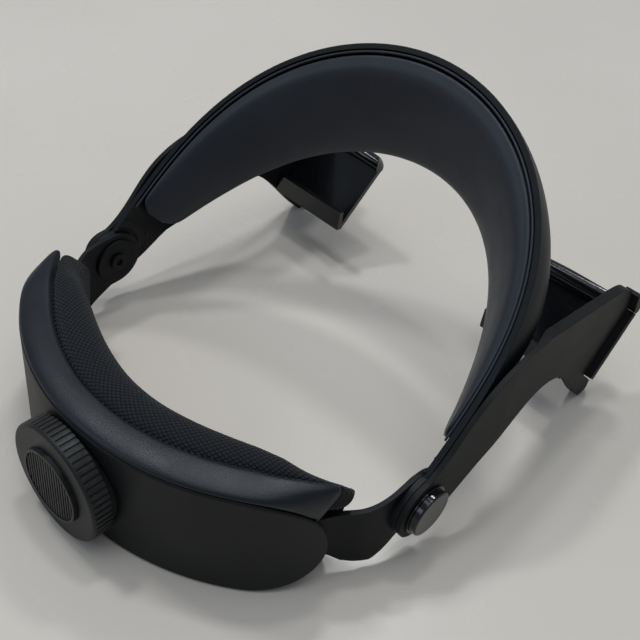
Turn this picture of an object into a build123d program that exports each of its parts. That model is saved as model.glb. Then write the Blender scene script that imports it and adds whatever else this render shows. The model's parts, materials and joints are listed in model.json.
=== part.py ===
from build123d import *
from math import asin, atan2, cos, pi, radians, sin, sqrt, tan
import os

# Halo head strap that carries a pair of goggles.  Millimetres, +Z up, the wearer looks along -Y.
# The origin is on the floor under the middle of the whole strap; +X is the wearer's left.

# Driving dimensions
PIVOT_Y, PIVOT_Z = 23.36, 22.3        # the temple pivots' common axis

# Rear housing: a wide rear arc joined to two tighter side arcs, seen from above
REAR_R, REAR_Y = 95.0, -18.0         # rear arc: radius and centre
SIDE_R = 46.2                        # side arcs
JOIN = asin(60.0 / REAR_R)           # where rear and side arcs meet
SIDE_X = (REAR_R - SIDE_R) * sin(JOIN)
SIDE_Y = REAR_Y + (REAR_R - SIDE_R) * cos(JOIN)
SHELL_END, NOSE_Z = 33.0, -4.0       # foremost point of the cover's rounded open ends
BOSS_R = 20.0                        # boss on the cover behind the knob
COVER_LOW, COVER_TOP = -22.3, 23.7   # the cover's bottom and top edges
WALL = 1.8
HOUSING_DEPTH = 12.6                 # cover's outer face to the back plate's inner face
PLATE_T = 1.6
PAD_END = 20.0                       # how far forward the rear cushion reaches
CUSHION_H = 44.5
LIP_T = 3.0                          # leatherette lip on top of the cover
SCREW_R, SCREW_HEAD_R = 1.2, 2.4     # back plate screws

# Adjusting knob and rack drive
KNOB_R, KNOB_FACE, KNOB_BACK = 22.0, 85.0, 77.6
INSERT_R = 13.6
RIBS = 60
SHAFT_R, SHAFT_END = 4.0, 67.4
RUNNING = 0.05                       # radial clearance of a turning fit
PITCH_R, TEETH = 6.0, 12
TOOTH_PITCH = 2 * pi * PITCH_R / TEETH
BAND_R, BAND_T, BAND_W = 88.0, 1.6, 5.6
BAND_ANGLE = 36.0                    # how far round the housing a rack band reaches

# Temple joint, layers along X from the inside outwards
DISC_X, STRAP_X, EAR_X, ARM_X = 79.0, 80.2, 82.1, 84.5
STRAP_T, EAR_T, ARM_T = 1.8, 2.2, 2.0
RING_X, CAP_X, CAP_TOP = 86.6, 87.6, 90.2
EAR_R, DISC_R, RING_R, CAP_R, PIN_R = 12.0, 9.6, 9.6, 8.8, 3.0

# Halo: a band standing on a rim curve in a plane that leans up and forward from the pivots
HALO_LEAN = radians(43.5)
RIM_H = 8.0                          # rim above the pivot plane, square to it
HALO_HALF, HALO_REACH = 84.3, 126.5
HALO_T = 2.2
SHELL_SPAN, PAD_SPAN = 84, 80        # degrees of the rim curve covered by the shell and the pad

# Goggle arms and trays
ARM_DROP = radians(1.8)              # the arms lie this much below the pose they are drawn in
BEND, TOE = -38.0, radians(1.3)      # an arm's front plate turns inwards from here on
FLAG_T = 4.2                         # thickness of that plate
BUMPER = 3.0                         # how far the edge strip stands proud of it
TRAY_IN, TRAY_T = 41.0, 2.4

os.makedirs("parts", exist_ok=True)


def side(x):
    """Plane facing +X at a distance x, drawn as (y, z) from the pivot axis."""
    return Plane(origin=(x, PIVOT_Y, PIVOT_Z), x_dir=(0, 1, 0), z_dir=(1, 0, 0))


def arm_side(x):
    """Like side(), turned about the pivot axis by the arms' drop."""
    return Plane(origin=(x, PIVOT_Y, PIVOT_Z), x_dir=(0, cos(ARM_DROP), sin(ARM_DROP)), z_dir=(1, 0, 0))


def arm_level(v):
    """Plane seen from above across an arm, drawn as (x, distance along the arm)."""
    back, up = Vector(0, cos(ARM_DROP), sin(ARM_DROP)), Vector(0, -sin(ARM_DROP), cos(ARM_DROP))
    return Plane(origin=Vector(0, PIVOT_Y, PIVOT_Z) + up * v, x_dir=back.cross(up), z_dir=up)


def flag_side(x):
    """Like arm_side(), but turned inwards with the arm's front plate."""
    back = Vector(sin(TOE), cos(TOE) * cos(ARM_DROP), cos(TOE) * sin(ARM_DROP))
    out = Vector(cos(TOE), -sin(TOE) * cos(ARM_DROP), -sin(TOE) * sin(ARM_DROP))
    bend = arm_side(ARM_X + ARM_T).from_local_coords(Vector(BEND, 0, 0))
    return Plane(origin=bend - back * BEND + out * (x - ARM_X - ARM_T), x_dir=back, z_dir=out)


def level(z):
    """Horizontal plane at a height above the pivot axis, drawn as (x, y)."""
    return Plane(origin=(0, PIVOT_Y, PIVOT_Z + z), x_dir=(1, 0, 0), z_dir=(0, 0, 1))


def rear(y):
    """Plane facing +Y at a distance behind the pivot axis, drawn as (-x, z)."""
    return Plane(origin=(0, PIVOT_Y + y, PIVOT_Z), x_dir=(-1, 0, 0), z_dir=(0, 1, 0))


def save(part, label):
    part.label = label
    export_step(part, f"parts/{label}.step")


def mirrored(part):
    return mirror(part, about=Plane.YZ)


def save_pair(part, label):
    """Write the left piece and its mirror image."""
    save(part, f"{label}_left")
    save(mirrored(part), f"{label}_right")


# ---------------------------------------------------------------- rear housing

def plan_arc_ends(inset, y_end):
    rear_r, side_r = REAR_R - inset, SIDE_R - inset
    end = (SIDE_X + sqrt(side_r**2 - (y_end - SIDE_Y) ** 2), y_end)
    join = (rear_r * sin(JOIN), REAR_Y + rear_r * cos(JOIN))
    mid = (atan2(end[0] - SIDE_X, end[1] - SIDE_Y) + JOIN) / 2
    middle = (SIDE_X + side_r * sin(mid), SIDE_Y + side_r * cos(mid))
    return end, middle, join


def plan_region(inset, y_end):
    """Everything inside the housing's curved wall, closed by a straight line at y_end."""
    (ex, ey), (mx, my), (jx, jy) = plan_arc_ends(inset, y_end)
    with BuildSketch() as region:
        with BuildLine():
            ThreePointArc((ex, ey), (mx, my), (jx, jy))
            ThreePointArc((jx, jy), (0, REAR_Y + REAR_R - inset), (-jx, jy))
            ThreePointArc((-jx, jy), (-mx, my), (-ex, ey))
            Line((-ex, ey), (ex, ey))
        make_face()
    return region.sketch


def arc_strip(inner, outer, start, end):
    """Strip of the housing's rear arc between two radii and two angles."""
    middle = (start + end) / 2
    with BuildSketch() as strip:
        with BuildLine():
            for radius in (inner, outer):
                ThreePointArc(*[(radius * sin(a), REAR_Y + radius * cos(a)) for a in (start, middle, end)])
            for a in (start, end):
                Line(*[(r * sin(a), REAR_Y + r * cos(a)) for r in (inner, outer)])
        make_face()
    return strip.sketch


def end_profile(inset):
    """Side view of the housing: straight at the back, with a rounded nose at its open ends."""
    high, low, long = COVER_TOP - NOSE_Z, NOSE_Z - COVER_LOW, 24.0
    with BuildSketch() as profile:
        with BuildLine():
            CenterArc((SHELL_END + high, NOSE_Z), high - inset, 90, 90)
            EllipticalCenterArc((SHELL_END + long, NOSE_Z), long - inset, low - inset, 180, arc_size=90)
            Polyline((SHELL_END + long, COVER_LOW + inset), (100, COVER_LOW + inset),
                     (100, COVER_TOP - inset), (SHELL_END + high, COVER_TOP - inset))
        make_face()
    return profile.sketch


def hollow_profile():
    """Side view of the cover's inside, with the mouth that the strap comes out of."""
    with BuildSketch() as profile:
        add(end_profile(WALL))
        with Locations((SHELL_END, -2.3)):
            Rectangle(20, 21.8)
    return profile.sketch


def rear_cover():
    """Curved tray, open towards the head and at both ends, with a boss round the knob's shaft."""
    with BuildPart() as hollow:
        with BuildSketch(level(COVER_LOW + WALL)):
            add(plan_region(WALL, SIDE_Y))
        extrude(amount=COVER_TOP - COVER_LOW - 2 * WALL)
        with BuildSketch(side(0)):
            add(hollow_profile())
        extrude(amount=90, both=True, mode=Mode.INTERSECT)
    with BuildPart() as cover:
        with BuildSketch(level(COVER_LOW)):
            add(plan_region(0, 22))
        extrude(amount=COVER_TOP - COVER_LOW)
        with BuildSketch(side(0)):
            add(end_profile(0))
        extrude(amount=90, both=True, mode=Mode.INTERSECT)
        with BuildSketch(level(COVER_LOW - 1)):
            add(plan_region(HOUSING_DEPTH, 22))
        extrude(amount=COVER_TOP - COVER_LOW + 2, mode=Mode.SUBTRACT)
        with BuildSketch(rear(72)):
            Circle(BOSS_R)
        extrude(amount=5.1)
        add(hollow.part, mode=Mode.SUBTRACT)
        with BuildSketch(rear(60)):
            Circle(SHAFT_R + RUNNING)
        extrude(amount=30, mode=Mode.SUBTRACT)
        rims = cover.edges().filter_by(GeomType.CIRCLE).filter_by(lambda e: e.radius > REAR_R - 0.01)
        fillet(rims, 1.0)
    return cover.part


def plate_screw_spots():
    """Where the back plate's screws stand: x, the plate's head-side face, z."""
    face_r = REAR_R - HOUSING_DEPTH
    return [(x, REAR_Y + sqrt(face_r**2 - x**2), z) for x in (-30, 30) for z in (-13, 15)]


def screw_holes(radius, start, amount):
    """Round pockets at the back plate's screws, measured from the plate's face."""
    with BuildPart() as holes:
        for x, y, z in plate_screw_spots():
            with BuildSketch(rear(y + start)):
                with Locations((-x, z)):
                    Circle(radius)
            extrude(amount=amount)
    return holes.part


def back_plate():
    """Inner plate that closes the cover; the cushion is glued to it."""
    with BuildPart() as plate:
        with BuildSketch(level(COVER_LOW + WALL + 0.2)):
            add(plan_region(HOUSING_DEPTH - PLATE_T, 40))
            add(plan_region(HOUSING_DEPTH, 22), mode=Mode.SUBTRACT)
        extrude(amount=COVER_TOP - COVER_LOW - 2 * WALL - 0.4)
        with BuildSketch(side(0)):
            add(end_profile(WALL + 0.2))
        extrude(amount=90, both=True, mode=Mode.INTERSECT)
        add(screw_holes(SCREW_HEAD_R + 0.2, -6.0, 6.4), mode=Mode.SUBTRACT)
        add(screw_holes(SCREW_R + 0.1, -6.0, 20.0), mode=Mode.SUBTRACT)
        with BuildSketch(rear(60)):
            Circle(3.2)
        extrude(amount=20, mode=Mode.SUBTRACT)
    return plate.part


def plate_screws():
    """Four short screws that hold the back plate to the band guide."""
    with BuildPart() as screws:
        add(screw_holes(SCREW_HEAD_R, -1.1, 1.4))
        add(screw_holes(SCREW_R, 0.3, 4.5))
    return screws.part


def pad_border():
    """Leatherette wrap: a lip along the cover's top, down to its ends, and a web behind the cushion."""
    with BuildPart() as border:
        with BuildSketch(level(9)):
            add(plan_region(0.6, SHELL_END + 0.5))
            add(plan_region(HOUSING_DEPTH + 1.8, 22), mode=Mode.SUBTRACT)
        extrude(amount=COVER_TOP + 0.2 + LIP_T - 9)
        with BuildSketch(side(0)):
            add(end_profile(-0.2))
        extrude(amount=90, both=True, mode=Mode.SUBTRACT)
        with BuildSketch(level(COVER_LOW + 1.5)):
            add(plan_region(HOUSING_DEPTH + 0.3, 33.5))
            add(plan_region(HOUSING_DEPTH + 1.8, 22), mode=Mode.SUBTRACT)
        extrude(amount=COVER_TOP - COVER_LOW)
        add(screw_holes(SCREW_HEAD_R + 0.4, -6.0, 9.0), mode=Mode.SUBTRACT)
    return border.part


def rear_cushion():
    """Foam pad with a woven face, fuller in the middle, with ends that reach along the straps."""
    (ex, ey), (mx, my), (jx, jy) = plan_arc_ends(HOUSING_DEPTH + 2.6, 33)
    shoulder, tip = (63.5, 31.0), (70.2, PAD_END + 1.5)
    face = [(66.5, PAD_END - 1.0), (59.5, 28.0), (53.5, 35.0), (44.0, 42.0), (24.0, 49.0)]
    with BuildPart() as cushion:
        with BuildSketch(level(COVER_LOW + 2.0)):
            with BuildLine():
                ThreePointArc((-jx, jy), (0, REAR_Y + REAR_R - HOUSING_DEPTH - 2.6), (jx, jy))
                ThreePointArc((jx, jy), (mx, my), (ex, ey))
                Polyline((ex, ey), shoulder, tip, face[0])
                Spline(*face, (0, 51.5), *[(-x, y) for x, y in reversed(face)])
                Polyline(*[(-x, y) for x, y in (face[0], tip, shoulder, (ex, ey))])
                ThreePointArc((-ex, ey), (-mx, my), (-jx, jy))
            make_face()
        extrude(amount=CUSHION_H)
        with BuildSketch(level(10)):
            for hand in (1, -1):
                Polygon(*[(hand * x, y) for x, y in ((63.4, 30.9), (70.1, 21.5), (74.6, 21.5), (75.8, 24.0),
                                                     (75.3, 28.5), (73.9, 32.8), (63.0, 32.8))], align=None)
        extrude(amount=CUSHION_H + COVER_LOW + 2.0 - 10)
    return cushion.part


# ---------------------------------------------------------------- knob and rack drive

def knob():
    """Ribbed hand wheel with the shaft that runs through the cover."""
    with BuildPart() as body:
        with BuildSketch(rear(KNOB_BACK)):
            Circle(KNOB_R)
        extrude(amount=KNOB_FACE - KNOB_BACK)
        fillet(body.edges().filter_by(GeomType.CIRCLE).sort_by(Axis.Y)[-1], 1.2)
        with BuildSketch(rear(KNOB_BACK)):
            Circle(KNOB_R - 2.6)
            Circle(7.0, mode=Mode.SUBTRACT)
        extrude(amount=3.6, mode=Mode.SUBTRACT)
        with BuildSketch(rear(KNOB_FACE)):
            Circle(INSERT_R + 0.1)
        extrude(amount=-1.6, mode=Mode.SUBTRACT)
        with BuildSketch(rear(SHAFT_END)):
            Circle(SHAFT_R)
        extrude(amount=KNOB_BACK - SHAFT_END)
        with BuildSketch(rear(KNOB_BACK)):
            with PolarLocations(KNOB_R, RIBS):
                Rectangle(0.9, 0.9)
        extrude(amount=KNOB_FACE - KNOB_BACK - 1.2, mode=Mode.SUBTRACT)
        with BuildSketch(rear(SHAFT_END)):
            Circle(1.2)
        extrude(amount=12, mode=Mode.SUBTRACT)
    return body.part


def knob_insert():
    with BuildPart() as insert:
        with BuildSketch(rear(KNOB_FACE - 1.5)):
            Circle(INSERT_R)
        extrude(amount=3.1)
        with BuildSketch(rear(KNOB_FACE + 1.6)):
            Circle(INSERT_R - 0.9)
        extrude(amount=-0.8, mode=Mode.SUBTRACT)
        with BuildSketch(rear(KNOB_FACE)):
            for i in range(-8, 9):
                x = 1.42 * i
                with Locations((x, 0)):
                    Rectangle(0.72, 2 * sqrt((INSERT_R - 1.1) ** 2 - x**2))
        extrude(amount=1.4)
    return insert.part


def knob_screw():
    """Screw up the shaft that keeps the pinion on."""
    with BuildPart() as screw:
        with BuildSketch(rear(SHAFT_END - 0.1)):
            Circle(2.6)
        extrude(amount=-1.2)
        with BuildSketch(rear(SHAFT_END - 0.1)):
            Circle(1.1)
        extrude(amount=10)
    return screw.part


def tooth(root, tip):
    """A straight-sided tooth, thinned for backlash, standing on the local X axis."""
    wide, narrow = 0.52 * TOOTH_PITCH, 0.18 * TOOTH_PITCH
    with BuildSketch() as one:
        Polygon((-wide / 2, root), (-narrow / 2, tip), (narrow / 2, tip), (wide / 2, root), align=None)
    return one.sketch


def pinion():
    """Small gear pressed on the knob's shaft, between the two rack bands."""
    with BuildPart() as gear:
        with BuildSketch(rear(SHAFT_END)):
            Circle(PITCH_R - 1.1)
            for i in range(TEETH):
                add(tooth(PITCH_R - 1.25, PITCH_R + 0.8).rotate(Axis.Z, 360 / TEETH * (i + 0.5)))
            Circle(SHAFT_R + 0.01, mode=Mode.SUBTRACT)
        extrude(amount=4.4)
    return gear.part


def click_ring():
    """Notched ring round the shaft inside the cover; its notches give the knob its clicks."""
    with BuildPart() as ring:
        with BuildSketch(rear(72.9)):
            Circle(10.5)
            with PolarLocations(10.5, 24):
                Circle(0.5, mode=Mode.SUBTRACT)
            Circle(SHAFT_R + 0.6, mode=Mode.SUBTRACT)
        extrude(amount=1.0)
    return ring.part


def rack_band(hand):
    """Toothed band in the housing: the left one (1) runs over the pinion, the right one (-1) under it."""
    low = PITCH_R + 1.1
    inner, outer = BAND_R - BAND_T / 2, BAND_R + BAND_T / 2
    with BuildPart() as band:
        with BuildSketch(level(hand * low)):
            add(arc_strip(inner, outer, radians(-6.0 * hand), radians(BAND_ANGLE * hand)))
        extrude(amount=hand * BAND_W)
        for i in range(-2, 8):
            a = hand * i * TOOTH_PITCH / BAND_R
            centre = (inner * sin(a), PIVOT_Y + REAR_Y + inner * cos(a), PIVOT_Z)
            with BuildSketch(Plane(origin=centre, x_dir=(-cos(a), sin(a), 0), z_dir=(sin(a), cos(a), 0))):
                add(tooth(hand * (low + 0.1), hand * (PITCH_R - 0.8)))
            extrude(amount=BAND_T)
    return band.part


def band_guide():
    """Channel on the back plate that the two bands slide in."""
    base = REAR_R - HOUSING_DEPTH + PLATE_T + 0.1
    top = PITCH_R + 1.1 + BAND_W + 0.4
    with BuildPart() as guide:
        with BuildSketch(level(-top - 1.4)):
            add(arc_strip(base, BAND_R + 1.6, radians(-42), radians(42)))
        extrude(amount=2 * top + 2.8)
        with BuildSketch(level(-top)):
            add(arc_strip(base + 1.0, BAND_R + 4, radians(-44), radians(44)))
        extrude(amount=2 * top, mode=Mode.SUBTRACT)
        add(screw_holes(SCREW_R + 0.1, -6.0, 20.0), mode=Mode.SUBTRACT)
        with BuildSketch(rear(55)):
            Circle(PITCH_R + 1.4)
        extrude(amount=25, mode=Mode.SUBTRACT)
    return guide.part


# ---------------------------------------------------------------- side straps and temple pivots

def strap_outline():
    """Side view of a strap: level with the pivot at its eye, then wider and lower towards the housing."""
    with BuildSketch() as outline:
        with BuildLine():
            Spline((0.0, 12.0), (8.0, 11.5), (14.0, 10.4), (20.0, 8.3), (27.0, 7.0), (36.0, 6.6), (46.0, 6.6))
            Polyline((46.0, 6.6), (46.0, -10.0), (36.0, -10.2), (31.0, -12.6), (25.5, -17.6), (16.5, -19.4),
                     (3.0, -12.2), (0.0, -12.0), (0.0, 12.0))
        make_face()
    return outline.sketch


def strap():
    """Flat side strap: an eye round the pivot, then an S bend that enters the housing."""
    outer = [(82.0, 8.5), (81.3, 14.8), (78.0, 22.0), (72.6, 28.5), (70.0, 33.5), (63.2, 43.5)]
    inner = [(80.2, 8.5), (79.6, 14.4), (76.5, 20.9), (71.1, 27.4), (68.3, 32.7), (61.7, 42.5)]
    with BuildPart() as eye:
        with BuildSketch(side(STRAP_X)):
            add(strap_outline())
            with Locations((30, 0)):
                Rectangle(42, 60, mode=Mode.SUBTRACT)
            Circle(EAR_R)
            Circle(PIN_R + RUNNING, mode=Mode.SUBTRACT)
        extrude(amount=STRAP_T)
    with BuildPart() as blade:
        with BuildSketch(level(-24)):
            with BuildLine():
                Spline(*outer, tangents=[(0, 1), (-6.2, 10)])
                Line(outer[-1], inner[-1])
                Spline(*inner, tangents=[(0, 1), (-6.2, 10)])
                Line(inner[0], outer[0])
            make_face()
        extrude(amount=40)
        with BuildSketch(side(50)):
            add(strap_outline())
        extrude(amount=40, mode=Mode.INTERSECT)
        add(eye.part)
    return blade.part


def pivot_pin():
    with BuildPart() as pin:
        with BuildSketch(side(DISC_X - 0.1)):
            Circle(PIN_R)
        extrude(amount=CAP_X - DISC_X)
    return pin.part


def inner_disc():
    """Domed washer with a star-socket screw head in its middle."""
    with BuildPart() as disc:
        with BuildSketch(side(DISC_X)):
            Circle(DISC_R)
            Circle(PIN_R + 0.01, mode=Mode.SUBTRACT)
        extrude(amount=STRAP_X - DISC_X - 0.2)
        fillet(disc.edges().filter_by(GeomType.CIRCLE).group_by(Axis.X)[0].sort_by(
            SortBy.RADIUS)[-1], 0.4)
    return disc.part


def pivot_screw():
    with BuildPart() as screw:
        with BuildSketch(side(DISC_X - 0.2)):
            Circle(3.6)
        extrude(amount=-1.0)
        with BuildSketch(side(DISC_X - 1.2)):
            with PolarLocations(1.2, 6):
                Circle(0.5)
            Circle(1.2)
        extrude(amount=0.8, mode=Mode.SUBTRACT)
    return screw.part


def cap_ring():
    with BuildPart() as ring:
        with BuildSketch(side(RING_X)):
            Circle(RING_R)
            Circle(PIN_R + 0.01, mode=Mode.SUBTRACT)
        extrude(amount=CAP_X - RING_X - 0.1)
    return ring.part


def pivot_cap():
    with BuildPart() as cap:
        with BuildSketch(side(CAP_X)):
            Circle(CAP_R)
        extrude(amount=CAP_TOP - CAP_X)
        fillet(cap.edges().filter_by(GeomType.CIRCLE).sort_by(Axis.X)[-1], 0.7)
    return cap.part


# ---------------------------------------------------------------- halo

LEAN_UP = Vector(0, -cos(HALO_LEAN), sin(HALO_LEAN))      # along the rim's plane, up and forward
LEAN_OUT = Vector(0, sin(HALO_LEAN), cos(HALO_LEAN))      # square to the rim's plane


def rim_point(t):
    """Rim curve seen square on: half width, and reach up the leaning plane."""
    x = HALO_HALF * sin(t) * (1 + 0.49 * cos(t) ** 2)
    v = 7.0 + HALO_REACH * cos(t) * (1 - 0.30 * sin(t) ** 2)
    return x, v


def halo_plane(t):
    """Section plane across the band: local X inwards, local Y square to the rim's plane."""
    x, v = rim_point(t)
    x0, v0 = rim_point(t - 0.01)
    x1, v1 = rim_point(t + 0.01)
    length = sqrt((x1 - x0) ** 2 + (v1 - v0) ** 2)
    inward = Vector((v1 - v0) / length, 0, 0) - LEAN_UP * ((x1 - x0) / length)
    origin = Vector(x, PIVOT_Y, PIVOT_Z) + LEAN_UP * v
    return Plane(origin=origin, x_dir=inward, z_dir=inward.cross(LEAN_OUT))


def band_frame(t):
    """Chord from the rim to the lower edge, its outward normal and the shell's bulge."""
    c = cos(t)
    top, low = Vector(0, RIM_H), Vector(27.5 * c, -9.0 - 24.0 * c)
    along = (low - top).normalized()
    outward = Vector(along.Y, -along.X)
    bulge = max(0.0, min(9.8, 17.5 * (c - 0.13)))
    return top, low, along, outward, bulge


def shell_outline(t):
    top, low, along, outward, bulge = band_frame(t)
    middle, back = (top + low) / 2 + outward * bulge, -outward * HALO_T
    inner_top = top + Vector(HALO_T, 0)
    with BuildSketch() as outline:
        with BuildLine():
            Spline(top, middle, low)
            Line(low, low + back)
            Spline(low + back, middle + back, inner_top)
            Line(inner_top, top)
        make_face()
    return outline.sketch


def pad_outline(t):
    top, low, along, outward, bulge = band_frame(t)
    length, thin, depth = (low - top).length, HALO_T + 0.5, 5.0 + 3.4 * cos(t)
    back_top, back_low = top + Vector(thin + 1.0, -1.6), low - outward * thin - along * 1.5
    back_mid = (top + low) / 2 + outward * (bulge - thin)
    face_low, face_top = back_low - outward * 1.6, top + Vector(thin + 2.4, -1.2)
    crown = [top + along * (length * f) - outward * (depth * d)
             for f, d in ((0.86, 0.95), (0.55, 1.0), (0.25, 0.9))]
    with BuildSketch() as outline:
        with BuildLine():
            Spline(back_top, back_mid, back_low)
            Line(back_low, face_low)
            Spline(face_low, *crown, face_top)
            Line(face_top, back_top)
        make_face()
    return outline.sketch


def halo_shell():
    with BuildPart() as shell:
        for degree in range(-SHELL_SPAN, SHELL_SPAN + 1, 12):
            with BuildSketch(halo_plane(radians(degree))):
                add(shell_outline(radians(degree)))
        loft()
    x, v = rim_point(radians(SHELL_SPAN - 2))
    with BuildPart() as ear:
        with BuildSketch(side(EAR_X)):
            Circle(EAR_R)
            with BuildLine():
                foot = [(v * LEAN_UP.Y + h * LEAN_OUT.Y, v * LEAN_UP.Z + h * LEAN_OUT.Z)
                        for h in (RIM_H, -10.0)]
                Polyline((8.0 * LEAN_OUT.Y, 8.0 * LEAN_OUT.Z), foot[0], foot[1],
                         (-11.0 * LEAN_OUT.Y, -11.0 * LEAN_OUT.Z), close=True)
            make_face()
            Circle(PIN_R + RUNNING, mode=Mode.SUBTRACT)
        extrude(amount=EAR_T)
    with BuildPart() as whole:
        add(shell.part)
        add(ear.part)
        add(mirrored(ear.part))
        with BuildSketch(side(-100)):
            Circle(PIN_R + RUNNING)
        extrude(amount=200, mode=Mode.SUBTRACT)
    return whole.part


def halo_pad():
    with BuildPart() as pad:
        for degree in range(-PAD_SPAN, PAD_SPAN + 1, 16):
            with BuildSketch(halo_plane(radians(degree))):
                add(pad_outline(radians(degree)))
        loft()
    return pad.part


# ---------------------------------------------------------------- goggle arms and trays

def arm_outline():
    """Side view of an arm: a band that rises from the pivot and flares into a tall plate."""
    with BuildSketch() as outline:
        with BuildLine():
            Spline((1.0, 11.8), (-9.0, 20.0), (-21.0, 33.6), (-30.0, 39.6), (-42.0, 43.6), (-56.0, 45.0))
            Line((-56.0, 45.0), (-98.0, 39.2))
            Spline((-98.0, 39.2), (-112.0, 36.9), (-120.5, 33.2), (-124.0, 29.8))
            Polyline((-124.0, 29.8), (-127.0, 20.6), (-107.4, -4.8), (-111.4, -8.0), (-117.6, -13.6),
                     (-117.4, -17.8), (-116.2, -18.3), (-111.0, -18.5))
            Spline((-111.0, -18.5), (-94.0, -0.9), (-83.7, 8.7), (-72.0, 15.3), (-62.5, 16.2), (-51.0, 11.8),
                   (-42.0, 6.1), (-28.0, -1.0), (-14.0, -9.0), (0.0, -11.9))
            Line((0.0, -11.9), (1.0, 11.8))
        make_face()
        Circle(EAR_R)
        Circle(PIN_R + RUNNING, mode=Mode.SUBTRACT)
    return outline.sketch


def flag_x(u, depth):
    """Distance from the middle to the front plate, this deep below its outer face."""
    return ARM_X + ARM_T - depth - (BEND - u) * tan(TOE)


def arm():
    """Flat at the pivot, then bent inwards and thickened on its inner side."""
    outer = ARM_X + ARM_T
    with BuildPart() as plate:
        with BuildSketch(arm_side(ARM_X - 10)):
            add(arm_outline())
        extrude(amount=20)
        with BuildSketch(arm_level(-60)):
            Polygon((ARM_X, 20), (outer, 20), (outer, BEND), (flag_x(-140, 0), -140),
                    (flag_x(-140, FLAG_T), -140), (flag_x(-58, FLAG_T), -58), (flag_x(-49, ARM_T), -49),
                    (ARM_X, BEND), align=None)
        extrude(amount=140, mode=Mode.INTERSECT)
    return plate.part


def arm_edge_strip():
    """Dark bumper along the arm's front edge, proud of its outer face."""
    with BuildPart() as strip:
        with BuildSketch(flag_side(ARM_X + ARM_T - FLAG_T + 0.6)):
            Polygon((-127.1, 20.4), (-107.9, -4.5), (-111.3, -7.1), (-130.5, 17.8), align=None)
        extrude(amount=FLAG_T - 0.6 + BUMPER)
    return strip.part


def arm_tab():
    """Small stop above the bumper at the top front corner."""
    with BuildPart() as tab:
        with BuildSketch(flag_side(ARM_X + ARM_T - FLAG_T + 0.6)):
            Polygon((-124.15, 29.84), (-127.15, 20.64), (-130.4, 18.1), (-132.2, 18.6), (-132.6, 23.8),
                    (-126.0, 30.4), align=None)
        extrude(amount=FLAG_T - 0.6 + BUMPER)
    return tab.part


def tray():
    """Glossy tray that carries one side of the goggles: a sloping floor, a lip and a rolled rim."""
    lip, front = (-94.0, 0.0), (-116.8, 23.6)
    slope = atan2(front[1] - lip[1], lip[0] - front[0])
    drop = (TRAY_T * sin(slope), TRAY_T * cos(slope))
    with BuildPart() as dish:
        with BuildSketch(arm_side(TRAY_IN)):
            Polygon(lip, front, (front[0] - drop[0], front[1] - drop[1]),
                    (lip[0] - drop[0], lip[1] - drop[1]), align=None)
            Polygon((-95.8, -1.2), (-93.4, -1.2), (-93.4, 8.0), (-95.8, 8.0), align=None)
        extrude(amount=45)
        for x, rise, radius in ((TRAY_IN, 0.8, 3.2), (TRAY_IN + 45, 3.0, 4.2)):
            with BuildSketch(arm_side(x)):
                with Locations((front[0] - 0.6, front[1] + rise)):
                    Circle(radius)
        loft()
        centre = (TRAY_IN + 26, PIVOT_Y - 105.5, PIVOT_Z + 8)
        with BuildSketch(Plane(origin=centre, x_dir=(1, 0, 0), z_dir=(0, sin(slope), cos(slope)))):
            RectangleRounded(52, 44, 6)
        extrude(amount=40, both=True, mode=Mode.INTERSECT)
        with BuildSketch(arm_level(-40)):
            Polygon((30, -60), (flag_x(-60, FLAG_T + 0.1), -60), (flag_x(-140, FLAG_T + 0.1), -140),
                    (30, -140), align=None)
        extrude(amount=100, mode=Mode.INTERSECT)
    return dish.part


save(rear_cover(), "rear_cover")
save(back_plate(), "back_plate")
save(plate_screws(), "plate_screws")
save(pad_border(), "pad_border")
save(rear_cushion(), "rear_cushion")
save(knob(), "knob")
save(knob_insert(), "knob_insert")
save(knob_screw(), "knob_screw")
save(pinion(), "pinion")
save(click_ring(), "click_ring")
save(rack_band(1), "rack_band_left")
save(rack_band(-1), "rack_band_right")
save(band_guide(), "band_guide")
save_pair(strap(), "strap")
save_pair(pivot_pin(), "pivot_pin")
save_pair(inner_disc(), "inner_disc")
save_pair(pivot_screw(), "pivot_screw")
save_pair(cap_ring(), "cap_ring")
save_pair(pivot_cap(), "pivot_cap")
save(halo_shell(), "halo_shell")
save(halo_pad(), "halo_pad")
save_pair(arm(), "arm")
save_pair(arm_edge_strip(), "arm_edge_strip")
save_pair(arm_tab(), "arm_tab")
save_pair(tray(), "tray")
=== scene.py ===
import bpy
import math
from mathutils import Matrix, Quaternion, Vector
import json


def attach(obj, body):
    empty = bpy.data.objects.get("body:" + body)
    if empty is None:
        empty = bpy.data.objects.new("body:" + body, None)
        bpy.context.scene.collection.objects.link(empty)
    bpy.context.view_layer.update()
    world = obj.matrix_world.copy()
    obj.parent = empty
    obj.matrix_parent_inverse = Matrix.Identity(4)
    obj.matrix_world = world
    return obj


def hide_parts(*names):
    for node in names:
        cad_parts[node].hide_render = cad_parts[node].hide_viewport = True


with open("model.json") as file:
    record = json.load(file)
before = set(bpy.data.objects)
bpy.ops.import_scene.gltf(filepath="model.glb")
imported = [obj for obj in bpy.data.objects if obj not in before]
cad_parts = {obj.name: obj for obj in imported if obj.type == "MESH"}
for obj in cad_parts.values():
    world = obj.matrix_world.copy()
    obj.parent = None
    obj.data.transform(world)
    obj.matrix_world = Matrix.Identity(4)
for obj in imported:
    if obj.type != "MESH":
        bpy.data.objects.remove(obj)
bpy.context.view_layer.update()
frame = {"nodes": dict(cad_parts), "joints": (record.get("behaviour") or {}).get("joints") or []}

# Everything is drawn in millimetres from the temple pivots' axis, then placed in metres.
halo_joint = next(j for j in frame["joints"] if j["name"] == "halo_tilt")
PIVOT = Vector((0, halo_joint["pos_m"][1], halo_joint["pos_m"][2]))


def at(x, y, z):
    return PIVOT + Vector((x, y, z)) * 0.001


# ---------------------------------------------------------------- materials

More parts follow.
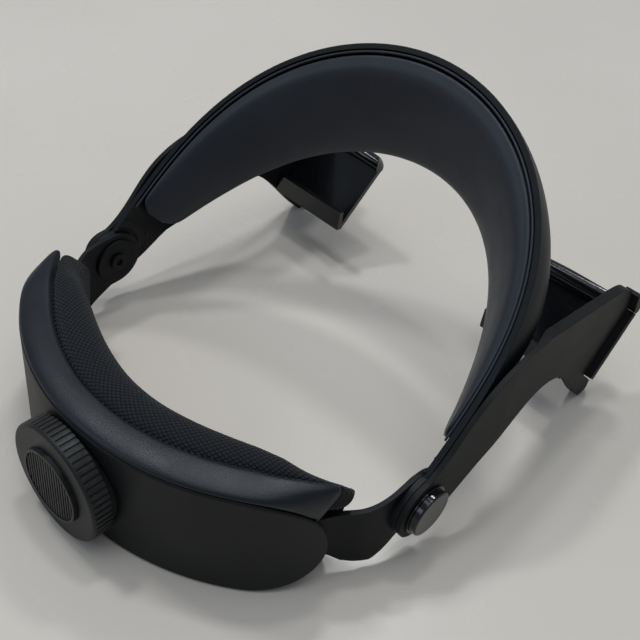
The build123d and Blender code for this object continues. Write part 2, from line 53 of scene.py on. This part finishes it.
class Nodes:
    """A short way to write a material's node tree."""

    def __init__(self, name, colour, roughness, **values):
        self.material = bpy.data.materials.new(name)
        self.material.use_nodes = True
        self.tree = self.material.node_tree
        self.shader = self.tree.nodes["Principled BSDF"]
        self.material.diffuse_color = (*colour, 1)
        self.shader.inputs["Base Color"].default_value = (*colour, 1)
        self.shader.inputs["Roughness"].default_value = roughness
        for key, value in values.items():
            self.shader.inputs[key.replace("_", " ")].default_value = value

    def add(self, kind, inputs=(), **settings):
        node = self.tree.nodes.new(kind)
        for key, value in settings.items():
            setattr(node, key, value)
        for key, value in dict(inputs).items():
            self.put(value, node.inputs[key])
        return node

    def put(self, value, socket):
        if isinstance(value, bpy.types.NodeSocket):
            self.tree.links.new(value, socket)
        else:
            socket.default_value = value

    def place(self):
        return self.add("ShaderNodeTexCoord").outputs["Object"]

    def uv(self):
        return self.add("ShaderNodeTexCoord").outputs["UV"]

    def noise(self, scale, detail=2.0, where=None):
        """Noise with scale features per metre."""
        return self.add("ShaderNodeTexNoise", {"Vector": where or self.place(), "Scale": scale,
                                               "Detail": detail}).outputs["Fac"]

    def cells(self, scale):
        return self.add("ShaderNodeTexVoronoi", {"Vector": self.place(), "Scale": scale}).outputs["Distance"]

    def math(self, operation, a, b=0.0, clamp=False):
        node = self.add("ShaderNodeMath", operation=operation, use_clamp=clamp)
        self.put(a, node.inputs[0])
        self.put(b, node.inputs[1])
        return node.outputs[0]

    def ramp(self, value, low, high, to_low=0.0, to_high=1.0):
        return self.add("ShaderNodeMapRange", {"Value": value, "From Min": low, "From Max": high,
                                               "To Min": to_low, "To Max": to_high}).outputs["Result"]

    def mix(self, factor, a, b):
        node = self.add("ShaderNodeMix", data_type="RGBA")
        self.put(factor, node.inputs["Factor"])
        self.put((*a, 1) if isinstance(a, tuple) else a, node.inputs["A"])
        self.put((*b, 1) if isinstance(b, tuple) else b, node.inputs["B"])
        return node.outputs["Result"]

    def edges(self, low=0.52, high=0.6):
        """1 along sharp outer edges, from pointiness."""
        return self.ramp(self.add("ShaderNodeNewGeometry").outputs["Pointiness"], low, high)

    def colour(self, value):
        self.put(value, self.shader.inputs["Base Color"])

    def rough(self, value):
        self.put(value, self.shader.inputs["Roughness"])

    def bump(self, *layers, radius=0.0):
        """Layers of (height, depth in metres); radius softens sharp edges."""
        normal = None
        if radius:
            normal = self.add("ShaderNodeBevel", {"Radius": radius}, samples=4).outputs["Normal"]
        for height, depth in layers:
            node = self.add("ShaderNodeBump", {"Height": height, "Distance": depth, "Strength": 1.0})
            if normal:
                self.tree.links.new(normal, node.inputs["Normal"])
            normal = node.outputs["Normal"]
        self.tree.links.new(normal, self.shader.inputs["Normal"])


EDGE_ROUNDING = 0.0004


def moulded(name, dark, light, roughness, grain=0.00003, edge_wear_and_glint=0.5, shine=0.26):
    """Moulded plastic: spark-eroded grain, slow tone drift, and outer edges painted paler, partly as rubbed
    wear and partly as a painted highlight along them.
    """
    n = Nodes(name, dark, roughness, Specular_IOR_Level=shine)
    tone = n.mix(n.ramp(n.noise(22, 3), 0.35, 0.65), dark, light)
    # Painted highlight and wear: sharp edges blend towards 3.2 times the light tone, standing in for edge
    # glints as well as rubbing.
    worn_and_glint_edges = n.math("MULTIPLY", n.edges(), n.ramp(n.noise(260, 3), 0.35, 0.7), clamp=True)
    n.colour(n.mix(n.math("MULTIPLY", worn_and_glint_edges, edge_wear_and_glint), tone, tuple(3.2 * c for c in light)))
    n.rough(n.ramp(n.noise(60, 4), 0.3, 0.7, roughness - 0.015, roughness + 0.025))
    n.bump((n.noise(2600, 2), grain), (n.noise(900, 2), grain * 0.6), radius=EDGE_ROUNDING)
    return n.material


def glossy(name, dark, roughness):
    """Polished black plastic with faint smears and hairline scratches."""
    n = Nodes(name, dark, roughness, Specular_IOR_Level=0.3, Coat_Weight=0.2, Coat_Roughness=0.06)
    n.colour(n.mix(n.ramp(n.noise(30, 3), 0.3, 0.7), dark, tuple(1.6 * c for c in dark)))
    stretch = n.add("ShaderNodeMapping", {"Vector": n.place(), "Scale": (1.0, 14.0, 3.0)}).outputs[0]
    n.rough(n.math("ADD", n.ramp(n.noise(35, 5), 0.35, 0.75, roughness - 0.03, roughness + 0.09),
                   n.ramp(n.noise(160, 2, stretch), 0.6, 0.75, 0.0, 0.08)))
    n.bump((n.noise(40, 2), 0.00006), radius=0.0003)
    return n.material


def leatherette(name, dark, light, roughness):
    """Soft-touch wrap: a very fine pebble, slow puckers and a bluish satin shine."""
    n = Nodes(name, dark, roughness, Specular_IOR_Level=0.3, Sheen_Weight=0.04, Sheen_Roughness=0.4)
    n.colour(n.mix(n.ramp(n.noise(35, 4), 0.3, 0.7), dark, light))
    n.rough(n.ramp(n.noise(90, 4), 0.3, 0.7, roughness - 0.05, roughness + 0.07))
    pebble = n.ramp(n.cells(2100), 0.0, 0.7)
    n.bump((n.noise(45, 2), 0.00008), (pebble, 0.00003), (n.noise(3200, 2), 0.00002))
    return n.material


def woven(name, dark, light, pitch):
    """Knitted spacer mesh: rows of plump stitches, each row offset by half a stitch."""
    n = Nodes(name, dark, 0.78, Specular_IOR_Level=0.2, Sheen_Weight=0.08, Sheen_Roughness=0.5)
    split = n.add("ShaderNodeSeparateXYZ", {"Vector": n.uv()})
    u, v = split.outputs["X"], split.outputs["Y"]
    jitter = n.math("MULTIPLY", n.math("SUBTRACT", n.noise(500, 2), 0.5), 0.0005)
    a = n.math("MULTIPLY", n.math("ADD", n.math("ADD", u, v), jitter), math.pi / pitch)
    b = n.math("MULTIPLY", n.math("SUBTRACT", n.math("MULTIPLY", u, 0.9), n.math("MULTIPLY", v, 1.15)),
               math.pi / pitch)
    lump = n.math("MULTIPLY", n.math("ABSOLUTE", n.math("SINE", a)), n.math("ABSOLUTE", n.math("SINE", b)))
    lump = n.math("POWER", lump, 0.7)
    strands = n.ramp(n.noise(4200, 2), 0.3, 0.7, 0.75, 1.0)
    height = n.math("MULTIPLY", lump, strands)
    # Painted shade and highlight: the colour follows the stitch height, dark in the gaps between stitches
    # and light on the stitch tops.
    n.colour(n.mix(n.ramp(height, 0.35, 0.95), dark, light))
    n.rough(n.ramp(n.noise(700, 2), 0.3, 0.7, 0.66, 0.85))
    n.bump((n.noise(25, 2), 0.0004), (height, 0.00042))
    return n.material


def steel(name):
    """Blackened screw steel with a turned finish."""
    n = Nodes(name, (0.012, 0.0125, 0.0135), 0.34, Metallic=0.4)
    n.colour(n.mix(n.edges(0.55, 0.65), (0.010, 0.0105, 0.011), (0.04, 0.041, 0.043)))
    n.rough(n.ramp(n.noise(800, 4), 0.3, 0.7, 0.26, 0.44))
    n.bump((n.noise(1800, 2), 0.00002), radius=0.0002)
    return n.material


# Colours are linear: the darker and the lighter end of each material's slow drift.
M = {
    "shell": moulded("shell_plastic", (0.0052, 0.0060, 0.0068), (0.0072, 0.0080, 0.0088), 0.5, shine=0.23),
    "inner": moulded("inner_plastic", (0.016, 0.016, 0.0168), (0.0208, 0.0208, 0.0216), 0.55, edge_wear_and_glint=0.2),
    "strap": moulded("strap_plastic", (0.0032, 0.0039, 0.0050), (0.0046, 0.0054, 0.0066), 0.48, shine=0.16),
    "arm": moulded("arm_plastic", (0.0071, 0.0074, 0.0075), (0.0082, 0.0085, 0.0086), 0.55,
                   edge_wear_and_glint=0.25, shine=0.16),
    "halo": moulded("halo_plastic", (0.0046, 0.0056, 0.0072), (0.0064, 0.0075, 0.0093), 0.42,
                    edge_wear_and_glint=0.2, shine=0.16),
    # The knob and its insert get the strongest painted edge highlights along their ribs.
    "knob": moulded("knob_plastic", (0.0105, 0.0112, 0.0116), (0.0142, 0.015, 0.0154), 0.46, edge_wear_and_glint=0.9),
    "insert": moulded("insert_plastic", (0.0067, 0.0071, 0.0079), (0.0097, 0.0101, 0.0109), 0.42, edge_wear_and_glint=1.0),
    "gloss": glossy("tray_gloss", (0.0031, 0.0035, 0.0042), 0.16),
    "cap": glossy("cap_gloss", (0.0048, 0.0052, 0.0056), 0.13),
    "wrap": leatherette("leatherette_wrap", (0.0062, 0.0082, 0.0118), (0.0084, 0.0108, 0.0152), 0.38),
    "pad": leatherette("leatherette_pad", (0.0215, 0.0250, 0.0325), (0.0275, 0.0315, 0.0400), 0.44),
    "mesh": woven("woven_mesh", (0.0009, 0.0012, 0.0018), (0.0135, 0.0175, 0.0245), 0.0019),
    "thread": moulded("seam_thread", (0.0072, 0.0078, 0.0096), (0.018, 0.0192, 0.0228), 0.5, edge_wear_and_glint=0.0),
    "steel": steel("screw_steel"),
    # Painted shade: the arms' edge strips get a darker colour than the arms, standing in for the shade in
    # their open channels.
    "strip_shade": moulded("edge_strip_painted_shade", (0.0028, 0.003, 0.0032), (0.0056, 0.0058, 0.006), 0.72,
                      grain=0.00012, edge_wear_and_glint=0.1),
}

NODE_MATERIALS = {
    "rear_cover": "shell", "back_plate": "inner", "click_ring": "inner", "band_guide": "inner",
    "pinion": "inner", "rack_band_left": "inner", "rack_band_right": "inner", "plate_screws": "steel",
    "knob": "knob", "knob_insert": "insert", "knob_screw": "steel", "halo_shell": "halo",
}
for hand in ("left", "right"):
    NODE_MATERIALS.update({
        "strap_" + hand: "strap", "pivot_pin_" + hand: "steel", "inner_disc_" + hand: "strap",
        "pivot_screw_" + hand: "strap", "cap_ring_" + hand: "cap", "pivot_cap_" + hand: "cap",
        "arm_" + hand: "arm", "arm_edge_strip_" + hand: "strip_shade", "arm_tab_" + hand: "arm",
        "tray_" + hand: "gloss"})
for node, look in NODE_MATERIALS.items():
    for slot in frame["nodes"][node].material_slots:
        slot.material = M[look]


# ---------------------------------------------------------------- mesh helpers

def make(name, points, faces, look, body, replaced=(), uvs=None, levels=1):
    mesh = bpy.data.meshes.new(name)
    mesh.from_pydata(points, [], faces)
    mesh.polygons.foreach_set("use_smooth", [True] * len(mesh.polygons))
    if uvs:
        layer = mesh.uv_layers.new(name="cloth")
        for loop in mesh.loops:
            layer.data[loop.index].uv = uvs[loop.vertex_index]
    piece = bpy.data.objects.new(name, mesh)
    bpy.context.scene.collection.objects.link(piece)
    mesh.materials.append(M[look])
    if levels:
        subdivide(piece, levels)
    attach(piece, body)
    if replaced:
        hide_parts(*replaced)
    return piece


def subdivide(piece, levels):
    smooth = piece.modifiers.new("smooth", "SUBSURF")
    smooth.levels = smooth.render_levels = levels


def lofted(rows):
    """Points and quads of a closed tube through rows of equal length, with both ends capped."""
    count, points, faces = len(rows[0]), [p for row in rows for p in row], []
    for i in range(len(rows) - 1):
        for j in range(count):
            k = (j + 1) % count
            faces.append((i * count + j, i * count + k, (i + 1) * count + k, (i + 1) * count + j))
    last = (len(rows) - 1) * count
    half = count // 2
    for base, turn in ((0, -1), (last, 1)):
        for j in range(half - 1 + count % 2):
            ring = [base + j, base + j + 1, base + count - 2 - j, base + count - 1 - j]
            if ring[1] != ring[2]:
                faces.append(tuple(ring[::turn]))
    return points, faces


def catmull(controls, count):
    """count points evenly along a smooth line through the controls (2D)."""
    pts = [Vector(c) for c in controls]
    ext = [2 * pts[0] - pts[1]] + pts + [2 * pts[-1] - pts[-2]]
    fine = []
    for i in range(1, len(ext) - 2):
        a, b, c, d = ext[i - 1:i + 3]
        for step in range(12):
            t = step / 12
            fine.append(0.5 * (2 * b + (c - a) * t + (2 * a - 5 * b + 4 * c - d) * t ** 2
                               + (3 * b - a - 3 * c + d) * t ** 3))
    fine.append(pts[-1])
    lengths = [0.0]
    for p, q in zip(fine, fine[1:]):
        lengths.append(lengths[-1] + (q - p).length)
    out, k = [], 0
    for i in range(count):
        want = lengths[-1] * i / (count - 1)
        while k < len(lengths) - 2 and lengths[k + 1] < want:
            k += 1
        share = (want - lengths[k]) / max(lengths[k + 1] - lengths[k], 1e-9)
        out.append(fine[k].lerp(fine[k + 1], min(share, 1.0)))
    return out


def along(table, value):
    """Smooth lookup in a table of (position, value)."""
    spots = [table[0]] + list(table) + [table[-1]]
    for (p, w), (a, low), (b, high), (q, z) in zip(spots, spots[1:], spots[2:], spots[3:]):
        if value <= b or b == q:
            t = min(max((value - a) / (b - a), 0.0), 1.0)
            rise, fall = (high - w) * (b - a) / (b - p), (z - low) * (b - a) / (q - a)
            return (low * (1 + 2 * t) * (1 - t) ** 2 + rise * t * (1 - t) ** 2
                    + high * t * t * (3 - 2 * t) - fall * t * t * (1 - t))
    return table[-1][1]


SWELL_FRAMES = 20


def inflate(piece, free, pressure, cap):
    """Cloth simulation that lets the free part of a stuffed piece swell against its fixed edges.

    free holds 0 to 1 for each vertex, and cap is the most that a vertex may move, in metres.
    """
    scene = bpy.context.scene
    group = piece.vertex_groups.new(name="fixed")
    rest = [v.co.copy() for v in piece.data.vertices]
    for v in piece.data.vertices:
        group.add([v.index], 1.0 - free[v.index], "REPLACE")
    cloth = piece.modifiers.new("cloth", "CLOTH")
    fabric = cloth.settings
    fabric.quality = 5
    fabric.mass = 0.3
    fabric.tension_stiffness = fabric.compression_stiffness = 25
    fabric.bending_stiffness = 3
    fabric.use_pressure = True
    fabric.uniform_pressure_force = pressure
    fabric.effector_weights.gravity = 0
    fabric.vertex_group_mass = "fixed"
    for number in range(1, SWELL_FRAMES + 1):
        scene.frame_set(number)
    shaped = piece.evaluated_get(bpy.context.evaluated_depsgraph_get()).to_mesh()
    moved = [v.co.copy() for v in shaped.vertices]
    piece.modifiers.remove(cloth)
    scene.frame_set(1)
    for v, start, end in zip(piece.data.vertices, rest, moved):
        shift = end - start
        if shift.length > cap:
            shift *= cap / shift.length
        v.co = start + shift
    piece.vertex_groups.remove(group)


# ---------------------------------------------------------------- rear pad

# The housing's plan is a wide arc behind the head and a tighter one at each side, tangent to it.
REAR_R, REAR_Y, SIDE_R = 95.0, -18.0, 46.2
JOIN = math.asin(60.0 / REAR_R)
SIDE_X = (REAR_R - SIDE_R) * math.sin(JOIN)
SIDE_Y = REAR_Y + (REAR_R - SIDE_R) * math.cos(JOIN)
REAR_LENGTH = REAR_R * JOIN


def housing(s, inset, z):
    """Point on the housing: s along its outer curve from the middle, inset towards the head."""
    size = abs(s)
    if size <= REAR_LENGTH:
        angle, radius, cx, cy = size / REAR_R, REAR_R, 0.0, REAR_Y
    else:
        angle = JOIN + (size - REAR_LENGTH) / SIDE_R
        radius, cx, cy = SIDE_R, SIDE_X, SIDE_Y
    x = cx + (radius - inset) * math.sin(angle)
    return at(math.copysign(x, s), cy + (radius - inset) * math.cos(angle), z)


# Each table runs along the housing from its middle. FACE, SEAM and BACK are insets from the outer curve:
# of the woven face, the seam and the cushion's back. SEAM_Z and CREASE are the levels of the seam and of
# the wrap's lower edge, and DROOP is how much the woven face falls per millimetre inwards.
FACE = [(0, 29.4), (30, 28.8), (55, 26.6), (75, 22.6), (86, 18.2), (95, 13.6), (106, 9.2)]
SEAM = [(0, 11.5), (60, 11.4), (80, 8.6), (90, 5.2), (96, 2.6), (106, 2.4)]
BACK = [(0, 15.4), (85, 15.4), (91, 12.0), (106, 7.2)]
SEAM_Z = [(0, 26.6), (70, 26.2), (88, 25.0), (96, 22.8), (101, 19.0), (106, 14.5)]
DROOP = [(0, 0.0), (76, 0.0), (92, 0.5), (106, 0.6)]
CREASE = [(0, 23.9), (57, 23.9), (66, 23.4), (72.3, 22.2), (79.9, 18.7), (85.8, 13.9), (90, 11.0),
          (106, 10.4)]
END, WRAP_END = 105.4, 95.0
FRONT_POINTS = 34
TIP_START = 98.0        # the cushion rounds off from here to END
STRAP_ROOM = 10.4       # the cushion's back stays above the side straps
WRAP_SLANT = 9.0        # the wrap's ends are cut this much further back at the crease than at the seam


def end_round(s, start, end):
    """How much of the full section is left at s: 1, then a quarter circle at the tips."""
    past = min(max((abs(s) - start) / (end - start), 0.0), 0.985)
    return math.sqrt(1 - past ** 2)


def cushion_section(s):
    """(inset, z) round the cushion: seam, woven face, underside, back, and up to the seam again."""
    face, seam, back, top = (along(t, abs(s)) for t in (FACE, SEAM, BACK, SEAM_Z))
    wide = face - seam
    front = catmull([(seam + 0.35, top - 1.6), (seam + 1.2, top - 0.35), (seam + 0.34 * wide, top - 0.1),
                     (seam + 0.66 * wide, top - 1.3), (seam + 0.89 * wide, top - 5.0),
                     (face - 0.15, top - 12.0), (face, 2.0), (face - 0.6, -9.0), (seam + 0.80 * wide, -16.5),
                     (back + 0.18 * wide, -19.6), (back, -19.9)], FRONT_POINTS)
    droop = along(DROOP, abs(s))
    front = [Vector((p.x, p.y - droop * (p.x - seam) * min(max(p.y / 12.0, 0.0), 1.0))) for p in front]
    step = max(along(CREASE, abs(s)) + 0.3, STRAP_ROOM)
    rear = [(back, -14.0), (back, -4.0), (back, 6.0), (back, min(step, STRAP_ROOM)), (back, step - 0.2),
            (back - 0.2, step), ((back + seam) / 2, step), (seam + 0.6, step), (seam + 0.35, step + 0.3)]
    shrink = end_round(s, TIP_START, END)
    points = list(front) + [Vector(p) for p in rear]
    middle = Vector((9.4, 2.0)) if abs(s) < 96 else Vector((7.0, 12.0))
    if shrink == 1:
        return points
    narrow = 0.3 + 0.7 * shrink
    offsets = [p - middle for p in points]
    return [middle + Vector((o.x * narrow, o.y * shrink)) for o in offsets]


def stations(end, step):
    count = int(2 * end / step)
    return [-end + 2 * end * i / count for i in range(count + 1)]


def rear_cushion():
    rows, uvs, free = [], [], []
    for s in stations(END, 2.4):
        section = cushion_section(s)
        rows.append([housing(s, p.x, p.y) for p in section])
        v = 0.0
        for j, p in enumerate(section):
            v += (p - section[j - 1]).length if j else 0.0
            uvs.append((s * 0.00078, v * 0.001))
            fade = min(1.0, (j - 1) / 4, (FRONT_POINTS - 3 - j) / 4)
            free.append(fade if 1 < j < FRONT_POINTS - 3 and abs(s) < TIP_START else 0.0)
    points, faces = lofted(rows)
    piece = make("rear_cushion_fabric", points, faces, "mesh", "housing", ["rear_cushion"], uvs, 0)
    inflate(piece, free, 3.0, 0.0012)
    subdivide(piece, 1)
    return piece


def wrap_section(s):
    """(inset, z) round the leatherette wrap: outer crease, satin crown, then down into the seam."""
    seam, top = along(SEAM, abs(s)), along(SEAM_Z, abs(s))
    foot = along(CREASE, abs(s)) + 0.1
    outer, rise = 0.25, top - foot
    crown = catmull([(outer, foot), (outer + 0.05, foot + 0.42 * rise),
                     (outer + 0.10 * seam, foot + 0.78 * rise),
                     (outer + 0.34 * seam, top + 0.35), (seam * 0.68, top + 0.9),
                     (seam * 0.90, top + 0.75), (seam - 0.25, top - 0.1), (seam + 0.05, top - 1.5)], 20)
    under = [(seam + 0.05, foot + 0.25 * (top - 1.5 - foot)), (seam - 0.1, foot), (seam / 2, foot)]
    return list(crown) + [Vector(p) for p in under]


def cushion_wrap():
    rows, uvs = [], []
    for s in stations(WRAP_END, 1.5):
        row, section = [], wrap_section(s)
        foot = section[0].y
        for p in section:
            share = min(max((p.y - foot) / (along(SEAM_Z, abs(s)) - foot), 0.0), 1.0)
            reach = WRAP_END - WRAP_SLANT * (1.0 - share)
            tuck = min(max(0.0, abs(s) - reach + 1.0), 1.0)
            row.append(housing(math.copysign(min(abs(s), reach), s), p.x + tuck, p.y - 0.2 * tuck))
        rows.append(row)
        uvs += [(s * 0.001, 0.001 * j) for j in range(len(section))]
    points, faces = lofted(rows)
    piece = make("cushion_wrap", points, faces, "wrap", "housing", ["pad_border"], uvs)
    return piece


# A stitch's rings: share of its length, height over the seam and size, both in thread radii.
STITCH_RINGS = ((0.0, -0.5, 0.35), (0.18, 0.35, 1.0), (0.5, 0.75, 1.1), (0.82, 0.35, 1.0), (1.0, -0.5, 0.35))
THREAD_R = 0.00024


def thread(name, spots, body):
    """Short stitches, each a small rounded loop of thread between two points."""
    points, faces = [], []
    for start, end, up in spots:
        direction = (end - start).normalized()
        across = direction.cross(up).normalized()
        lift = across.cross(direction)
        base = len(points)
        for share, height, size in STITCH_RINGS:
            centre = start.lerp(end, share) + lift * height * THREAD_R
            for k in range(6):
                a = math.tau * k / 6
                points.append(centre + (across * math.cos(a) + lift * math.sin(a)) * THREAD_R * size)
        for i in range(len(STITCH_RINGS) - 1):
            for k in range(6):
                n = (k + 1) % 6
                ring = base + 6 * i
                faces.append((ring + k, ring + n, ring + 6 + n, ring + 6 + k))
        faces.append(tuple(base + k for k in range(5, -1, -1)))
        faces.append(tuple(base + 6 * (len(STITCH_RINGS) - 1) + k for k in range(6)))
    return make(name, points, faces, "thread", body)


SEAM_END, STITCH, STITCH_GAP = 85.0, 1.7, 0.8


def seam_point(s):
    return housing(s, along(SEAM, abs(s)) + 0.25, along(SEAM_Z, abs(s)) - 0.75)


def cushion_seam():
    """The visible row of stitches between the wrap and the woven face."""
    spots, s = [], -SEAM_END
    while s < SEAM_END - 1.0:
        a, b = seam_point(s), seam_point(s + STITCH)
        inward = (housing(s, 5.0, 0) - housing(s, 0.0, 0)).normalized()
        spots.append((a, b, (Vector((0, 0, 1)) + inward * 0.2).normalized()))
        s += STITCH + STITCH_GAP
    return thread("cushion_seam_stitches", spots, "housing")


# ---------------------------------------------------------------- forehead pad

# The halo's plane leans forward. On it, the rim is a curve of the angle t from the top, and the pad
# spans PAD_SPAN degrees to each side, rounding off from PAD_ROUND.
LEAN = math.radians(43.5)
LEAN_UP = Vector((0, -math.cos(LEAN), math.sin(LEAN)))
LEAN_OUT = Vector((0, math.sin(LEAN), math.cos(LEAN)))
RIM_H, HALO_T = 8.0, 2.2
PAD_SPAN, PAD_ROUND, PAD_ROWS, PAD_FRONT_POINTS = 79.6, 76.4, 98, 30
WELT_SPAN = 80


def rim(t):
    x = 84.3 * math.sin(t) * (1 + 0.49 * math.cos(t) ** 2)
    v = 7.0 + 126.5 * math.cos(t) * (1 - 0.30 * math.sin(t) ** 2)
    return x, v


def on_band(t, inwards, height):
    """Point on the halo: inwards from the rim curve, and height square to its plane."""
    x, v = rim(t)
    x0, v0 = rim(t - 0.01)
    x1, v1 = rim(t + 0.01)
    length = math.hypot(x1 - x0, v1 - v0)
    inward = Vector(((v1 - v0) / length, 0, 0)) - LEAN_UP * ((x1 - x0) / length)
    return at(*(Vector((x, 0, 0)) + LEAN_UP * v + inward * inwards + LEAN_OUT * height))


def pad_section(t):
    """(inwards, height) round the forehead pad: tucked top edge, crowned face, lower roll, back."""
    c = math.cos(t)
    top, low = Vector((0, RIM_H)), Vector((27.5 * c, -9.0 - 24.0 * c))
    run = (low - top).normalized()
    out = Vector((run.y, -run.x))
    bulge = max(0.0, min(9.8, 17.5 * (c - 0.13)))
    length, thin, depth = (low - top).length, HALO_T + 0.5, 5.0 + 3.4 * c
    back_low = low - out * thin - run * 1.5
    face = [top + Vector((thin + 0.9, -1.9)), top + Vector((thin + 1.5, -0.75)),
            top + Vector((thin + 2.6, -1.4))]
    face += [top + run * (length * f) - out * (depth * d)
             for f, d in ((0.16, 0.82), (0.34, 0.96), (0.55, 1.0), (0.75, 0.98), (0.89, 0.86))]
    face += [back_low - out * 2.2 + run * 0.3, back_low - out * 0.8 + run * 0.6, back_low]
    front = catmull(face, PAD_FRONT_POINTS)
    back = catmull([back_low, (top + low) / 2 + out * (bulge - thin), top + Vector((thin + 0.9, -1.9))], 9)
    return list(front) + list(back[1:-1])


def forehead_pad():
    rows, uvs, free = [], [], []
    for i in range(PAD_ROWS + 1):
        degree = -PAD_SPAN + 2 * PAD_SPAN * i / PAD_ROWS
        t = math.radians(degree)
        section = pad_section(t)
        centre = sum(section, Vector((0, 0))) / len(section)
        past = min(max((abs(degree) - PAD_ROUND) / (PAD_SPAN - PAD_ROUND), 0.0), 0.97)
        shrink = 0.35 + 0.65 * math.sqrt(1 - past ** 2)
        rows.append([on_band(t, *(centre + (p - centre) * shrink)) for p in section])
        for j in range(len(section)):
            uvs.append((i * 0.0028, j * 0.0016))
            fade = max(0.0, min(1.0, (j - 2) / 4, (PAD_FRONT_POINTS - 3 - j) / 4))
            free.append(fade if abs(degree) < PAD_ROUND - 0.4 else 0.0)
    points, faces = lofted(rows)
    piece = make("forehead_pad", points, faces, "pad", "halo", ["halo_pad"], uvs, 0)
    inflate(piece, free, 2.5, 0.001)
    subdivide(piece, 1)
    return piece


def bead(name, centres, normals, radius, look, body):
    """A thin welt: a tube along centres, with its eight-sided sections square to the path."""
    rows = []
    for i, centre in enumerate(centres):
        path = (centres[min(i + 1, len(centres) - 1)] - centres[max(i - 1, 0)]).normalized()
        up = (normals[i] - path * normals[i].dot(path)).normalized()
        across = path.cross(up)
        rows.append([centre + (up * math.cos(a) + across * math.sin(a)) * radius
                     for a in (math.tau * k / 8 for k in range(8))])
    points, faces = lofted(rows)
    return make(name, points, faces, look, body)


def forehead_welt():
    """The bead of leatherette along the pad's upper edge, inside the rim."""
    angles = [math.radians(degree) for degree in range(-WELT_SPAN, WELT_SPAN + 1)]
    centres = [on_band(t, HALO_T + 0.85, RIM_H - 0.75) for t in angles]
    return bead("forehead_pad_welt", centres, [LEAN_OUT] * len(centres), 0.00052, "pad", "halo")


EAR_X = 82.1


def ear_arc(hand, side, number, radius, start, end):
    """Raised rib round the pivot on the inner face of a halo ear, from start to end degrees."""
    angles = [math.radians(start + (end - start) * i / 24) for i in range(25)]
    centres = [at(hand * EAR_X, radius * math.cos(a), radius * math.sin(a)) for a in angles]
    inward = [Vector((-hand, 0, 0))] * len(centres)
    bead(f"halo_ear_rib_{side}_{number}", centres, inward, 0.0006, "halo", "halo")


rear_cushion()
cushion_wrap()
cushion_seam()
forehead_pad()
forehead_welt()
for hand, side in ((1, "left"), (-1, "right")):
    ear_arc(hand, side, 1, 13.2, 96, 176)
    ear_arc(hand, side, 2, 17.6, 112, 170)


# ---------------------------------------------------------------- floor, lights and camera

FLOOR_HALF, FLOOR_Z = 4, -0.0004
LAMP, SKY, ORIGIN = (0.92, 0.97, 1.0), (0.66, 0.8, 1.0), (0, 0, 0)
CAMERA_AT, LOOK_AT, ROLL = (-175.85, 182.22, 252.19), (-22.08, -11.36, 32.36), 0.15


def floor():
    mesh = bpy.data.meshes.new("floor")
    corners = [(x * FLOOR_HALF, y * FLOOR_HALF, FLOOR_Z) for x, y in ((-1, -1), (1, -1), (1, 1), (-1, 1))]
    mesh.from_pydata(corners, [], [(0, 1, 2, 3)])
    piece = bpy.data.objects.new("floor", mesh)
    bpy.context.scene.collection.objects.link(piece)
    n = Nodes("floor_tile", (0.65, 0.592, 0.53), 0.3, Specular_IOR_Level=0.16)
    n.colour(n.mix(n.ramp(n.noise(5, 3), 0.3, 0.7), (0.636, 0.574, 0.508), (0.668, 0.604, 0.536)))
    n.rough(n.ramp(n.noise(30, 3), 0.3, 0.7, 0.2, 0.3))
    mesh.materials.append(n.material)


def panel(name, position, width, depth, power, colour):
    """A rectangular lamp aimed at the origin."""
    light = bpy.data.lights.new(name, "AREA")
    light.shape, light.size, light.size_y = "RECTANGLE", width, depth
    light.energy, light.color = power, colour
    lamp = bpy.data.objects.new(name, light)
    lamp.location = position
    lamp.rotation_euler = (Vector(ORIGIN) - Vector(position)).to_track_quat("-Z", "Y").to_euler()
    bpy.context.scene.collection.objects.link(lamp)


def lights():
    world = bpy.data.worlds.new("room")
    world.use_nodes = True
    background = world.node_tree.nodes["Background"]
    background.inputs["Color"].default_value = (0.78, 0.88, 1.0, 1)
    background.inputs["Strength"].default_value = 0.29
    bpy.context.scene.world = world
    panel("overhead_near", (1.0, 0.1, 1.9), 0.26, 0.18, 8, LAMP)
    panel("overhead_far", (0.6, -1.0, 1.8), 0.26, 0.18, 7, LAMP)
    panel("overhead_middle", (0.3, -0.35, 2.1), 0.26, 0.18, 6, LAMP)
    panel("overhead_soft", (-0.2, 0.2, 2.3), 1.7, 1.2, 13, LAMP)
    panel("window_near", (1.0, 1.5, 1.25), 0.42, 0.7, 3.0, SKY)
    panel("window_far", (0.62, 1.75, 1.25), 0.3, 0.7, 2.0, SKY)


def camera():
    data = bpy.data.cameras.new("camera")
    data.lens, data.sensor_width = 53.44, 36
    data.clip_start = 0.01
    cam = bpy.data.objects.new("camera", data)
    cam.location = at(*CAMERA_AT)
    look = at(*LOOK_AT) - cam.location
    cam.rotation_mode = "QUATERNION"
    cam.rotation_quaternion = look.to_track_quat("-Z", "Y") @ Quaternion((0, 0, 1), ROLL)
    bpy.context.scene.collection.objects.link(cam)
    bpy.context.scene.camera = cam


floor()
lights()
camera()
bpy.context.scene.view_settings.view_transform = "Standard"
